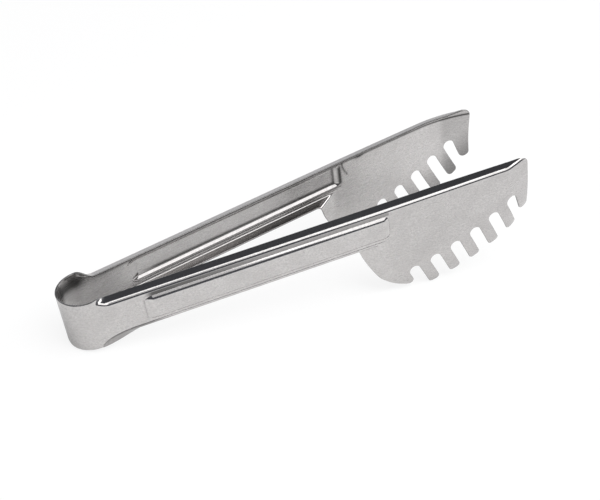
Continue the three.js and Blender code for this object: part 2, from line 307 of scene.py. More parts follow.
ALONG = np.array((np.cos(SLOT_TILT), np.sin(SLOT_TILT)))
DOWN = np.array((ALONG[1], -ALONG[0]))
COMB_CENTRE = np.array((ROOT + COMB_CENTRE_U, COMB_RADIUS - COMB_DROP))
COMB_MIDDLE = COMB_CENTRE @ ALONG
COMB_LOWEST = COMB_CENTRE @ DOWN + COMB_RADIUS
FIRST_SLOT = np.array((ROOT + FIRST_SLOT_U, -COMB_DROP)) @ ALONG


def slot_end(along):
    """How far down the slots end: a flat arc across the comb."""
    return COMB_LOWEST - SLOT_DEPTH - (along - COMB_MIDDLE) ** 2 / (2 * SLOT_ARC_RADIUS)


def tooth_tip(along):
    """How far down the teeth reach: the round lower edge of the blade."""
    return COMB_CENTRE @ DOWN + np.sqrt(COMB_RADIUS ** 2 - (along - COMB_MIDDLE) ** 2)


def tooth_share(u, v):
    """How far down its tooth a point lies: 0 at the slots' ends and 1 a slot's depth below them."""
    along = u * ALONG[0] + v * ALONG[1]
    down = u * DOWN[0] + v * DOWN[1]
    return np.where(u > ROOT, np.maximum(0, down - slot_end(along)) / SLOT_DEPTH, 0)


def curl(u, v, half):
    """Inward curl: the blade leans in, its front bends along a line, its teeth curl in a parabola."""
    bend, run = half["front_bend"], half["bend_run"]
    share = np.clip((u - FRONT + bend) / run + 0.5, 0, 1)
    front = (run * share ** 2 / 2 + np.maximum(0, u - FRONT + bend - run / 2)) / bend
    front_curl = half["front_curl"] * front * (1 + v / half["curl_height"])
    lean = np.clip((u - ROOT) / LEAN_RUN, 0, 1) ** 2
    return front_curl + LEAN * lean + TOOTH_CURL * tooth_share(u, v) ** 2


print("comb of", SLOT_COUNT, "slots at", SLOT_PITCH, "mm")

# %% [markdown]
# One formula then takes the flat blank to the bent sheet. It is written for whole arrays of u and s, so
# the same call places one point or thirty thousand. A second step wraps what lies behind the arm round
# the bow. The two halves of real tongs are never quite alike: here the far panel starts further
# forward, and the two fronts curl differently.

# %% From the blank to the bent sheet
NEAR = {"panel_start": 20.7, "front_curl": 4.5, "curl_height": 80, "front_bend": 11.2, "bend_run": 3}
FAR = {"panel_start": 23.2, "front_curl": 5.8, "curl_height": 46, "front_bend": 12.35, "bend_run": 24.7}
SLOPE_STEP = 0.02


def pressed(u, s, half):
    """Folds, panel and curl: gives the inward and upward place of the sheet's middle surface."""
    above = s - upper_crease(u)
    below = -s - lower_crease(u)
    up_in, up_on = upper_fold(u, np.maximum(above, 0))
    low_in, low_on = lower_fold(u, np.maximum(below, 0))
    crease = witness(below + WITNESS_ABOVE) * smooth((PANEL_END - u) / WITNESS_FADE)
    w = up_in + low_in - panel_height(u, s, half["panel_start"]) + crease
    height = np.where(below > 0, -lower_crease(u) - low_on, s)
    v = MIDDLE_V + np.where(above > 0, upper_crease(u) + up_on, height)
    return w + curl(u, v, half), v


def on_arm(u, s, half):
    """The same surface in space: straight along the arm, and round the bow where u is negative."""
    w, v = pressed(u, s, half)
    angle = np.maximum(0, -u) / BOW_RADIUS
    radius = BOW_RADIUS - w
    x = np.maximum(0, u) - radius * np.sin(angle)
    y = BOW_RADIUS - radius * np.cos(angle)
    return np.stack((x, y, v), axis=-1)


def surface_frame(u, s, half):
    """Directions along u, along s and out of the sheet, from the surface's own slopes."""
    along = on_arm(u + SLOPE_STEP, s, half) - on_arm(u - SLOPE_STEP, s, half)
    across = on_arm(u, s + SLOPE_STEP, half) - on_arm(u, s - SLOPE_STEP, half)
    along /= np.linalg.norm(along, axis=-1, keepdims=True)
    across /= np.linalg.norm(across, axis=-1, keepdims=True)
    out = np.cross(along, across)
    return along, across, out / np.linalg.norm(out, axis=-1, keepdims=True)


print("tip of the blade lies at", np.round(on_arm(np.array(FRONT), np.array(0.0), NEAR), 2))

# %% [markdown]
# The blank's outline is drawn once, as a designer draws the punch: straight edges, arcs, and corners
# rounded to a radius. Two kinds of arc are enough for it: one that rounds a corner between straight
# sides, and one that bulges between two points.

# %% Arcs and corners of the outline
OUTLINE_STEP = 0.3


def arc(centre, radius, start, end):
    """Points on an arc, one step apart."""
    count = max(3, int(abs(end - start) * radius / OUTLINE_STEP) + 1)
    angle = np.linspace(start, end, count)
    return centre + radius * np.stack((np.cos(angle), np.sin(angle)), axis=-1)


def short_arc(centre, radius, first, last):
    """The shorter arc between two points given from its centre."""
    start = np.arctan2(first[1], first[0])
    turn = np.arctan2(first[0] * last[1] - first[1] * last[0], first @ last)
    return arc(centre, radius, start, start + turn)


def rounded(before, corner, after, radius):
    """The arc that rounds a corner: its centre lies on the line that halves the corner's angle."""
    back = (before - corner) / np.linalg.norm(before - corner)
    on = (after - corner) / np.linalg.norm(after - corner)
    half = np.arccos(np.clip(back @ on, -1, 1)) / 2
    middle = (back + on) / np.linalg.norm(back + on)
    centre = corner + middle * radius / np.sin(half)
    first, last = (corner + way * radius / np.tan(half) - centre for way in (back, on))
    return short_arc(centre, radius, first, last)


def bulging(start, end, height):
    """The arc that bulges to the right of the line from start to end.

    Its radius is half the height, plus the square of the line's length over eight heights.
    """
    chord = end - start
    radius = (chord @ chord / 4 + height ** 2) / (2 * height)
    left = np.array((-chord[1], chord[0])) / np.linalg.norm(chord)
    centre = (start + end) / 2 + left * (radius - height)
    return short_arc(centre, radius, start - centre, end - centre)


print("arcs have a point every", OUTLINE_STEP, "mm")

# %% [markdown]
# The outline runs along the lower edge of the strip, round the belly, through slots and teeth, up the
# front and back along the upper edge. Only the blade's part is drawn here. The strip's edges join it
# later, with a point on every line of the grid.

# %% Outline of the comb
BELLY_START = 2.1
BELLY_BULGE = 4.6
BELLY_FILLET = 2.6
HEEL_RISE = 3.6
TOOTH_ROUND = 1.8
HORN_LENGTH = 12.4
HORN_WIDTH = 4.3
HORN_LEAN = 1.0
FRONT_CORNER = 3.2
FILLET_POINTS = int(2 * BELLY_FILLET / OUTLINE_STEP)
HEEL_POINTS = int(3 * TOOTH_ROUND / OUTLINE_STEP)
EDGE_STEP = 3 * OUTLINE_STEP


def on_comb(along, down):
    """A point on the blank: its steps on the comb's two axes, counted from the strip's middle."""
    point = along * ALONG + down * DOWN
    return point - (0, MIDDLE_V)


def tip(along):
    """A point of the round lower edge, on the blank."""
    return on_comb(along, tooth_tip(along))


def slot_wall(slot, side):
    """Place along the comb of a slot's rear wall, with side -1, or front wall, with side 1."""
    return FIRST_SLOT + slot * SLOT_PITCH + side * SLOT_WIDTH / 2


def comb_outline():
    """The lower outline of the blade from the belly to the horn and up to the front's top corner."""
    rear = slot_wall(0, -1)
    heel = on_comb(rear, tooth_tip(rear) - HEEL_RISE)
    start = np.array((ROOT + BELLY_START, -LOWER_EDGE))
    belly = bulging(start, heel, BELLY_BULGE)
    fillet = rounded(start - (1, 0), start, belly[FILLET_POINTS], BELLY_FILLET)
    path = [fillet, belly[FILLET_POINTS:-HEEL_POINTS]]
    before = belly[-HEEL_POINTS - 1]
    for slot in range(SLOT_COUNT):
        middle = FIRST_SLOT + slot * SLOT_PITCH
        end = slot_end(middle) + SLOT_WIDTH / 2
        rear, front = slot_wall(slot, -1), slot_wall(slot, 1)
        path.append(rounded(before, tip(rear) if slot else heel, on_comb(rear, end), TOOTH_ROUND))
        path.append(arc(on_comb(middle, end), SLOT_WIDTH / 2, SLOT_TILT + np.pi, SLOT_TILT))
        before = on_comb(front, end)
        if slot + 1 < SLOT_COUNT:
            path.append(rounded(before, tip(front), tip(slot_wall(slot + 1, -1)), TOOTH_ROUND))
            before = tip(front)
    low = slot_end(middle) + HORN_LENGTH
    horn = on_comb(front - HORN_LEAN, low)
    horn_front = on_comb(front - HORN_LEAN + HORN_WIDTH, low)
    corner = np.array((FRONT, top_edge(FRONT)))
    behind = np.array((FRONT - FRONT_CORNER, top_edge(FRONT - FRONT_CORNER)))
    path.append(rounded(before, horn, horn_front, HORN_WIDTH / 2))
    path.append(rounded(horn, horn_front, corner, HORN_WIDTH / 2))
    path.append(rounded(horn_front, corner, behind, FRONT_CORNER))
    return np.concatenate(path)


def even_steps(path, step):
    """Puts extra points on the long straight stretches of a path."""
    ahead = np.diff(path, axis=0)
    counts = np.maximum(1, np.ceil(np.linalg.norm(ahead, axis=1) / step).astype(int))
    index = np.repeat(np.arange(len(ahead)), counts)
    place = np.arange(counts.sum()) - np.repeat(np.cumsum(counts) - counts, counts)
    share = place / counts[index]
    return np.concatenate((path[index] + ahead[index] * share[:, None], path[-1:]))


comb = even_steps(comb_outline(), EDGE_STEP)
print("punched edge has", len(comb), "points")

# %% [markdown]
# The points on the blank are a grid of lines along u and rows along s. Lines stand close where the
# sheet bends: round the bow, in the run-outs of the folds and at the ends of the panel. Rows follow the
# creases, so a fold always has the same number of rows.

# %% Lines and rows
FINE = 0.3
BOW_STEP = 0.27
ARM_STEP = 4
BLADE_STEP = 1.25
LEAD = 1
ROOT_MARGIN = 5
FRONT_ZONE = 27
SEAM_STEP = 0.05
ARC_ROWS, FLANGE_ROWS = 20, 10
UPPER_WALL_ROWS, LOWER_WALL_ROWS = 22, 34
FLAT_ROWS, REST_ROWS = 6, 5
GROOVE_ROWS = (0.4, 0.8, 1.3, 1.9)


def steps(start, end, step):
    """Even places from start to end, about one step apart."""
    return np.linspace(start, end, int(np.ceil((end - start) / step)) + 1)


def fold_rows(bend, flange):
    """Places across a fold and its flange: close together round the bend."""
    on_flange = np.linspace(bend, flange, FLANGE_ROWS)[1:-1]
    return np.concatenate((np.linspace(0, bend, ARC_ROWS), on_flange))


def rows(u):
    """Places along s for each line: on the folds, on the walls, and a few on the panel's flat."""
    flat_edge = WALL_FOOT - UPPER_WIDTH
    flat = np.linspace(-flat_edge, flat_edge, FLAT_ROWS)[1:-1]
    rest = np.linspace(0, 1, REST_ROWS)[1:-1]
    groove = WITNESS_WIDTH * np.array(GROOVE_ROWS)
    upper, lower = upper_crease(u)[:, None], lower_crease(u)[:, None]
    level = np.ones((len(u), 1))
    return np.concatenate((
        upper + fold_rows(UPPER_ARC, UPPER_FLANGE) * (UPPER_EDGE - upper) / UPPER_FLANGE,
        UPPER_BEND + (upper - UPPER_BEND) * rest,
        level * np.linspace(flat_edge, UPPER_BEND, UPPER_WALL_ROWS),
        level * flat,
        level * -np.linspace(flat_edge, LOWER_BEND, LOWER_WALL_ROWS),
        -LOWER_BEND - (lower - LOWER_BEND) * rest,
        groove - lower,
        -lower - fold_rows(LOWER_ARC, LOWER_FLANGE) * (LOWER_EDGE - lower) / LOWER_FLANGE,
    ), axis=1)


SHOULDER_END = FAR["panel_start"] + REAR_WIDTH + LEAD
ROOT_END = PANEL_END + ROOT_MARGIN
columns = np.unique(np.concatenate((
    (BACK, BACK + SEAM_STEP),
    steps(BACK + BOW_STEP, UPPER_FOLD_START - LEAD, BOW_STEP),
    steps(UPPER_FOLD_START - LEAD, SHOULDER_END, FINE),
    steps(SHOULDER_END, ROOT - LEAD, ARM_STEP),
    steps(ROOT - LEAD, ROOT_END, FINE),
    steps(ROOT_END, FRONT - FRONT_ZONE, BLADE_STEP),
    steps(FRONT - FRONT_ZONE, FRONT, BLADE_STEP / 2),
)))
row_places = np.sort(rows(columns), axis=1)
print(len(columns), "lines with", row_places.shape[1], "rows")

# %% [markdown]
# Round the gusset the grid is slanted as the gusset is, so that its round bend comes out clean. The
# belly of the blade is almost flat, so an even grid does for it.

# %% Grid over strip, gusset and belly
GUSSET_CLEAR = 0.7
GUSSET_BAND = 0.65
GUSSET_ROWS, GUSSET_LINES = 30, 33

clear = np.concatenate((np.full((len(columns), 1), True), np.diff(row_places) > SEAM_STEP), axis=1)
grid = np.stack((np.broadcast_to(columns[:, None], row_places.shape), row_places), axis=-1)[clear]
past_bend = np.maximum(-grid[:, 1] - LOWER_BEND, 0)
off_gusset = np.abs(grid[:, 0] - gusset_line(past_bend)) > GUSSET_CLEAR * GUSSET_WIDTH
grid = grid[off_gusset | (grid[:, 1] > -LOWER_BEND)]

gusset_band = np.linspace(-GUSSET_BAND, GUSSET_BAND, GUSSET_LINES)
gusset_x, gusset_off = np.meshgrid(np.linspace(0, LOWER_FLANGE, GUSSET_ROWS), gusset_band)
gusset_u = gusset_line(gusset_x) + gusset_off * GUSSET_WIDTH
gusset_grid = np.stack((gusset_u, -LOWER_BEND - gusset_x), axis=-1).reshape(-1, 2)
grid = np.concatenate((grid, gusset_grid))

belly_u = steps(ROOT, FRONT, BLADE_STEP)
belly_s = -steps(LOWER_EDGE, COMB_DROP + MIDDLE_V, BLADE_STEP)[1:]
belly_grid = np.stack(np.meshgrid(belly_u, belly_s), axis=-1).reshape(-1, 2)

lower_edge = columns[columns < comb[0, 0] - SEAM_STEP]
upper_edge = columns[columns < comb[-1, 0] - SEAM_STEP][::-1]
chain = np.concatenate((
    np.stack((lower_edge, np.full(len(lower_edge), -LOWER_EDGE)), axis=-1),
    comb,
    np.stack((upper_edge, top_edge(upper_edge)), axis=-1),
))
print("grid", grid.shape, "outline", chain.shape)

# %% [markdown]
# The flat faces stop a little inside the punched edge, and a rounded rim takes over from there, because
# a real punched edge is tumbled until it is safe to hold. Points of the grid that lie outside the
# outline, or so close to it that they would make slivers, are dropped.

# %% Points inside the outline
MARGIN = 0.14
BELLY_MARGIN = BLADE_STEP / 3


def outward_on_blank(path):
    """Unit directions out of the blank, square to the path, which runs anticlockwise."""
    ahead = np.gradient(path, axis=0)
    ahead[0], ahead[-1] = (1, 0), (-1, 0)
    out = np.stack((ahead[:, 1], -ahead[:, 0]), axis=-1)
    return out / np.linalg.norm(out, axis=1, keepdims=True)


def well_inside(points, loop, margin):
    """True for points inside a loop, by crossing count, and further than margin from its sides."""
    a, b = loop, np.roll(loop, -1, axis=0)
    px, py = points[:, :1], points[:, 1:]
    crosses = (a[:, 1] > py) != (b[:, 1] > py)
    drop = np.where(b[:, 1] == a[:, 1], 1, b[:, 1] - a[:, 1])
    at = a[:, 0] + (py - a[:, 1]) * (b[:, 0] - a[:, 0]) / drop
    odd = np.sum(crosses & (px < at), axis=1) % 2 == 1
    side = b - a
    square = np.maximum((side ** 2).sum(1), TINY)
    share = ((px - a[:, 0]) * side[:, 0] + (py - a[:, 1]) * side[:, 1]) / square
    share = np.clip(share, 0, 1)
    away = np.hypot(px - a[:, 0] - share * side[:, 0], py - a[:, 1] - share * side[:, 1])
    return odd & (away.min(axis=1) > margin)


chain_out = outward_on_blank(chain)
rim = chain - EDGE_ROUND * chain_out
inset = EDGE_ROUND + MARGIN
off_edges = (row_places[0] > -LOWER_EDGE + inset) & (row_places[0] < UPPER_EDGE - inset)
seam_rows = row_places[0][off_edges & clear[0]]
seam = np.stack((np.full(len(seam_rows), BACK), seam_rows[::-1]), axis=-1)
loop = np.concatenate((rim, seam))
strip_points = grid[well_inside(grid, loop, MARGIN)]
belly_points = belly_grid[well_inside(belly_grid, loop, BELLY_MARGIN)]
print("kept", len(strip_points), "points on the strip and", len(belly_points), "on the belly")

# %% [markdown]
# Blender's own triangulation joins the points and the outline. It keeps what lies inside, and says
# which point each of its own came from, so the rim and the cut can be found again.

# %% Triangles on the blank
KEEP_INSIDE = 1
WELD = 1e-5

blank_points = np.concatenate((loop, strip_points, belly_points))
found = delaunay_2d_cdt(blank_points.tolist(), [], [list(range(len(loop)))], KEEP_INSIDE, WELD)
blank, triangles = np.array(found[0]), np.array(found[2])
first_source = np.array([sources[0] if sources else -1 for sources in found[3]])
at_source = np.full(len(blank_points), -1)
at_source[first_source[first_source >= 0]] = np.arange(len(blank))[first_source >= 0]
rim_index = at_source[:len(rim)]
seam_index = at_source[len(rim):len(loop)]
assert (rim_index >= 0).all() and (seam_index >= 0).all()
print("blank:", len(blank), "points,", len(triangles), "triangles")

# %% [markdown]
# The sheet gets its thickness from two copies of the middle surface, moved out and in by half the
# sheet. The rim is a small profile carried along the punched edge. The cut at the middle of the bow,
# where the near and far halves meet, is closed with one flat face.

# %% Thickness and rim
RIM_TURNS = np.radians((30, 60, 90))
TORN_POWER = 4


def sheet_mesh(half):
    """Points, faces and layers of one half: outer face, inner face, rim and the cut in the bow."""
    u, s = blank[:, 0], blank[:, 1]
    along, across, out = surface_frame(u, s, half)
    middle = on_arm(u, s, half)
    outer = middle + out * SHEET / 2
    inner = middle - out * SHEET / 2
    edge = along[rim_index] * chain_out[:, :1] + across[rim_index] * chain_out[:, 1:]
    edge /= np.linalg.norm(edge, axis=1, keepdims=True)
    reach = EDGE_ROUND * np.sin(RIM_TURNS)
    height = SHEET / 2 - EDGE_ROUND + EDGE_ROUND * np.cos(RIM_TURNS)
    reach, height = np.concatenate((reach, reach[::-1])), np.concatenate((height, -height[::-1]))
    profile = (middle[rim_index][:, None] + edge[:, None] * reach[:, None]
               + out[rim_index][:, None] * height[:, None])
    count, turns = len(blank), len(reach)
    ring = 2 * count + np.arange(len(rim_index) * turns).reshape(-1, turns)
    ring = np.concatenate((rim_index[:, None], ring, count + rim_index[:, None]), axis=1)
    quads = np.stack((ring[:-1, :-1], ring[:-1, 1:], ring[1:, 1:], ring[1:, :-1]), axis=-1).reshape(-1, 4)
    cut = np.concatenate((ring[-1][::-1], count + seam_index, ring[0][::-1], seam_index[::-1]))
    points = np.concatenate((outer, inner, profile.reshape(-1, 3)))
    flat = np.concatenate((blank, blank, np.repeat(chain, turns, axis=0)))
    faces = triangles.tolist() + (triangles[:, ::-1] + count).tolist() + quads.tolist() + [cut.tolist()]
    inner_side = np.concatenate((np.zeros(count), np.ones(count), np.full(profile.shape[0] * turns, 0.5)))
    torn = np.sin(np.concatenate((RIM_TURNS, RIM_TURNS[::-1]))) ** TORN_POWER
    edge_side = np.concatenate((np.zeros(2 * count), np.tile(torn, profile.shape[0])))
    return points, faces, {"flat": flat, "inner": inner_side, "edge": edge_side}


near_points, sheet_faces, layers = sheet_mesh(NEAR)
far_points, sheet_faces, layers = sheet_mesh(FAR)
print("half sheet:", len(near_points), "points,", len(sheet_faces), "faces")

# %% [markdown]
# The tongs lie on the back of the bow and on their lowest teeth, so the arms point up at the front.
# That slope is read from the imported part's hinges: their axis is the bow's axis, and they lie on the
# sheet halfway round each side of the bow.

# %% Both halves in place
AXIS = np.array(joints["near_squeeze"]["axis"])
PIVOT = np.array(joints["near_squeeze"]["pos_m"]) / MM
AXIS = AXIS / np.linalg.norm(AXIS)
ACROSS = np.array((0.0, 1.0, 0.0))
FORWARD = np.cross(ACROSS, AXIS)
HALFWAY = BOW_RADIUS * np.sqrt(0.5)
BOW_CENTRE = PIVOT + FORWARD * HALFWAY + ACROSS * HALFWAY - AXIS * MIDDLE_V
BLANK_UNIT = 100
SHARP_ANGLE = np.radians(50)


def splayed(points):
    """Turns the arm outwards by the splay about the bow's axis."""
    turn = np.radians(SPLAY)
    x, y, z = points[:, 0], points[:, 1] - BOW_RADIUS, points[:, 2]
    forward = x * np.cos(turn) + y * np.sin(turn)
    across = y * np.cos(turn) - x * np.sin(turn)
    return np.stack((forward, across, z), axis=-1)


def placed(points, side):
    """From the bow's own axes to the frame, in metres; side is 1 for the near half, -1 for the far."""
    place = BOW_CENTRE + points[:, :1] * FORWARD + side * points[:, 1:2] * ACROSS + points[:, 2:] * AXIS
    return place * MM


def half_sheet(name, points, side):
    """A mesh object for one half, mirrored for the far side, with the blank as its texture map."""
    mesh = bpy.data.meshes.new(name)
    faces = sheet_faces if side > 0 else [face[::-1] for face in sheet_faces]
    mesh.from_pydata(placed(splayed(points), side), [], faces)
    uv = mesh.uv_layers.new(name="blank")
    loops = np.empty(len(mesh.loops), dtype=np.int32)
    mesh.loops.foreach_get("vertex_index", loops)
    uv.data.foreach_set("uv", (layers["flat"][loops] / BLANK_UNIT).astype(np.float32).ravel())
    mesh.polygons.foreach_set("use_smooth", np.full(len(mesh.polygons), True))
    mesh.set_sharp_from_angle(angle=SHARP_ANGLE)
    mesh.validate()
    piece = bpy.data.objects.new(name, mesh)
    bpy.context.scene.collection.objects.link(piece)
    return piece


near_sheet = half_sheet("near_sheet", near_points, 1)
far_sheet = half_sheet("far_sheet", far_points, -1)
print("near sheet spans", [round(x, 4) for x in near_sheet.dimensions])

# %% [markdown]
# Where the press has bent the sheet hard, the tool has rubbed it bright: folds, flanges and the panel's
# walls shine like a mirror, while the flats keep the satin of the rolled sheet. That share is worked
# out on the blank, so the finish follows the shape and not the place in space.

# %% Rubbed bends
RUB_REACH = 0.7
WALL_RUB = 8


def rubbed(u, s, half):
    """Share of rubbing: full on folds, flanges and walls, and nothing a short reach away from them."""
    upper = smooth((s - upper_crease(u)) / RUB_REACH + 1)
    below = -s - lower_crease(u)
    lower = smooth(below / RUB_REACH + 1) * gusset_share(u, np.maximum(below, 0))
    height = panel_height(u, s, half["panel_start"]) / PANEL_DEPTH
    wall = smooth(WALL_RUB * height * (1 - height))
    return np.maximum(np.maximum(upper, lower), wall)


def beyond(x, place, run):
    """Eases from 0 at a place to 1 a run past it."""
    return smooth((x - place) / run)


def until(x, place, run):
    """Eases from 1 to 0 over the run that ends at a place."""
    return smooth((place - x) / run)


print("rubbing reaches", RUB_REACH, "mm past a bend")

# %% [markdown]
# Inside the tongs, painted shade stands for the shadow and the dark reflections that fall there. It
# darkens the bow, the web, the lower flange, the tips and the teeth, and draws dark lines along the recess
# of the panel, at its front wall and under the upper flange. A painted dark reflection sits in the upper
# half of the bow, and the painted shade of a hook-shaped dent and of a small dent under the upper flange
# lies where the blade begins. Each mark is a formula on the blank, so it needs no painted picture. A pair
# of numbers is the place and the run of an ease, or the middle and the half width of a hump.

# %% Painted shade on the inner face
PANEL_FADE = 2
# Painted shade inside the bow and its shoulder, where the floor mirrored in the steel lies in shadow.
BOW_SHADE, BOW_SPAN = 0.14, (26, 22)
SHOULDER_SHADE, SHOULDER_SPAN = 0.20, (13, 9)
# A painted dark reflection in the upper half of the bow.
DARK_REFLECTION_ACROSS, DARK_REFLECTION_SPAN = (7.4, 3.2), (6, 6)
# Painted shade on the inner web, which mirrors the shaded floor between the arms.
WEB_SHADE, WEB_SPAN = 0.12, (22, 20)
# Painted shade on the lower flange, darker towards the front.
FLANGE_SHADE, FLANGE_SPAN = 0.22, (26, 20)
FLANGE_DARK, FLANGE_DARK_SPAN = 0.605, (45, 50)
FLANGE_ACROSS = (0.6 * LOWER_ARC, 0.6)
FLANGE_STOP = 1.2
# Painted shade at the front end wall of the recess and at its rim.
WALL_SPAN = (PANEL_END, 0.8)
WALL_RIM_SHADE, WALL_RIM_SPAN = 0.7, (PANEL_END - FRONT_WIDTH - 0.4, 0.8)
# Painted shade towards the tips and down the teeth, where they curl in.
TIP_SHADE, TIP_SPAN = 0.25, (FRONT - 15, 4)
TOOTH_SHADE = 0.50
# Painted shade of a hook-shaped dent, and of a small dent under the upper flange.
HOOK_SHADE, HOOK_WIDTH, HOOK_SPAN = 0.9, 0.45, (-1.8, 1.2)
HOOK_U, HOOK_TOP, HOOK_CURVE = PANEL_END + 1.5, 5, 0.06
DENT_SHADE_ALONG, DENT_SHADE_ACROSS = (ROOT + 26, 1.9), (UPPER_BEND - 1.5, 0.8)
# Lines of painted shade under the upper flange and along the recess of the panel.
SHADE_LINES = (
    # share, place across the strip, start along it, end
    (0.50, (UPPER_BEND - 1.1, 0.5), (6, 8), np.inf),
    (0.45, (UPPER_BEND - 1.1, 0.5), (ROOT, 25), np.inf),
    (0.90, (LOWER_WIDTH - WALL_FOOT + 0.25, 0.55), (26, 10), PANEL_END - FRONT_WIDTH),
    (0.80, (-WALL_FOOT - 0.25, 0.30), (26, 10), PANEL_END),
)


def shade_lines(u, s):
    """The sum of the lines of painted shade along the strip: humps across it that ease in and stop at an
    end.
    """
    return sum(share * hump(s, *across) * beyond(u, *start) * (u < end)
               for share, across, start, end in SHADE_LINES)


def on_panel(s):
    """Share of the panel's flat across the strip: 1 in its middle, 0 at the foot of its walls."""
    return until(np.abs(s), WALL_FOOT, PANEL_FADE)


def painted_inner_shade(u, s):
    """Painted shade on the inner face: the sum of its marks, and at most 1."""
    past_bend = -s - LOWER_BEND
    bow = BOW_SHADE * until(u, *BOW_SPAN) + SHOULDER_SHADE * hump(u, *SHOULDER_SPAN)
    dark_reflection = hump(s, *DARK_REFLECTION_ACROSS) * until(u, *DARK_REFLECTION_SPAN)
    web = WEB_SHADE * on_panel(s) * beyond(u, *WEB_SPAN) * (u < PANEL_END)
    flange = (FLANGE_SHADE + FLANGE_DARK * beyond(u, *FLANGE_DARK_SPAN)) * beyond(u, *FLANGE_SPAN)
    flange = flange * beyond(past_bend, *FLANGE_ACROSS)
    flange = flange * gusset_share(u, np.maximum(past_bend, 0) + FLANGE_STOP)
    front_wall = on_panel(s) * (hump(u, *WALL_SPAN) + WALL_RIM_SHADE * hump(u, *WALL_RIM_SPAN))
    tips = TIP_SHADE * beyond(u, *TIP_SPAN)
    teeth = TOOTH_SHADE * smooth(tooth_share(u, s + MIDDLE_V))
    # Painted shade that stands for the two dents.
    hook = HOOK_SHADE * hump(u, HOOK_U + HOOK_CURVE * (HOOK_TOP - s) ** 2, HOOK_WIDTH)
    hook = hook * beyond(s, *HOOK_SPAN) * (s < UPPER_BEND)
    dent_shade = hump(u, *DENT_SHADE_ALONG) * hump(s, *DENT_SHADE_ACROSS)
    marks = bow + dark_reflection + web + flange + shade_lines(u, s) + hook + dent_shade + front_wall + tips + teeth
    return np.minimum(1, marks)


print("inner face has", len(SHADE_LINES), "long lines of painted shade")

# %% [markdown]
# Outside, painted shade stands for the shade that falls on the sheet and that the steel mirrors. It
# darkens the ledge above the panel, the crease and the run-out of the lower fold, the panel's rear end and
# a patch under the gusset's crease. The blade and the back of the bow are a little darker too. Here the
# darkest mark counts, and not the sum of them.

# %% Painted shade on the outer face
# Painted shade in the run-out and along the crease of the lower fold near the bow.
RUNOUT_SHADE, RUNOUT_ACROSS, RUNOUT_SPAN = 0.4, (0, 0.3), (36, 12)
CREASE_SHADE, CREASE_ACROSS, CREASE_SPAN = 0.75, (0, 0.3), (30, 10)
# Painted shade at the rear end of the panel, and under the gusset's crease.
REAR_SHADE, REAR_LINE = 0.4, 0.35
GUSSET_SHADE, GUSSET_SHADE_ACROSS, GUSSET_SHADE_ALONG = 0.22, (-LOWER_BEND - 1.3, 0.8), (ROOT + 7.5, 3)
# Painted shade on the ledge above the panel, darker towards the bow.
LEDGE_FOOT, LEDGE_TOP = (WALL_FOOT + 0.1, 0.3), (UPPER_BEND + 0.7, 0.4)
LEDGE_SHADE, LEDGE_START_RUN = 0.52, 4
LEDGE_DARK, LEDGE_DARK_SPAN = 0.43, (85, 65)
# The blade and the back of the bow are made a little darker.
BLADE_DARKENING, BLADE_SPAN = 0.10, (ROOT, 30)
BACK_DARKENING, BACK_SPAN = 0.14, (2, 14)


def outer_shade_and_darkening(u, s, half):
    """Painted shade and a slight darkening on the outer face: the darkest of its marks."""
    below = -s - lower_crease(u)
    runout = RUNOUT_SHADE * beyond(below, *RUNOUT_ACROSS) * until(u, *RUNOUT_SPAN)
    crease = CREASE_SHADE * hump(below, *CREASE_ACROSS) * until(u, *CREASE_SPAN)
    rear = REAR_SHADE * hump(u, half["panel_start"], REAR_LINE) * on_panel(s)
    gusset_shade = GUSSET_SHADE * hump(s, *GUSSET_SHADE_ACROSS) * hump(u, *GUSSET_SHADE_ALONG)
    ledge = beyond(s, *LEDGE_FOOT) * until(s, *LEDGE_TOP)
    ledge = ledge * (LEDGE_SHADE + LEDGE_DARK * until(u, *LEDGE_DARK_SPAN))
    ledge = ledge * beyond(u, half["panel_start"], LEDGE_START_RUN) * (u < PANEL_END)
    blade = BLADE_DARKENING * beyond(u, *BLADE_SPAN)
    back = BACK_DARKENING * until(u, *BACK_SPAN)
    return np.max((runout, crease, rear, gusset_shade, ledge, blade, back), axis=0)


print("outer face is darkest on the ledge, with", LEDGE_SHADE + LEDGE_DARK)

# %% [markdown]
# The punch tears the sheet as it cuts, so the edges stay darker than the faces. Only the upper rim of the
# near half is worn clean round the bow. Rubbing, painted shade and torn edges are kept as attributes of
# the mesh's points, which the steel reads by name.

# %% Skins of both halves
SKINS = ("rubbed", "shade_and_darkening", "torn")
WORN_RUN = 3

u, s = layers["flat"].T
inner, edge = layers["inner"], layers["edge"]
for piece, half in ((near_sheet, NEAR), (far_sheet, FAR)):
    torn_rim = beyond(u, -WORN_RUN, WORN_RUN) if half is NEAR else 1
    shares = (
        rubbed(u, s, half) * (1 - edge * (u < 0)),
        # Painted shade on the inner face, and painted shade with a slight darkening on the outer face.
        inner * painted_inner_shade(u, s) + (1 - inner) * outer_shade_and_darkening(u, s, half),
        edge * np.where(s > 0, torn_rim, 1),
    )
    for name, values in zip(SKINS, shares):
        share = piece.data.attributes.new(name, "FLOAT", "POINT")
        share.data.foreach_set("value", values.astype(np.float32))
    print(piece.name, "mean shares of", SKINS, [round(float(values.mean()), 3) for values in shares])

# %% [markdown]
# Stainless sheet is never a plain mirror. Rolling leaves fine streaks along the strip and a close
# grain, handling leaves faint smudges, and here and there is a pit. The group below makes these as
# values that the steel then uses for its colour, its roughness and its bumps.

# %% Sheet wear as a node group
STREAK_LENGTH = 0.05
STREAK_WIDTH = 0.0022
STREAK_SCALE = 6
SMUDGE_SIZE = 0.009
GRAIN_SIZE = 0.0008
PIT_SPACING = 0.0045
PIT_RARITY = 0.86
PIT_RIM, PIT_CORE = 0.05, 0.02


def add(tree, kind, x, y, **settings):
    """Adds a node at a place in the tree and sets its properties."""
    node = tree.nodes.new(kind)
    node.location = (x, y)
    for key, value in settings.items():
        setattr(node, key, value)
    return node


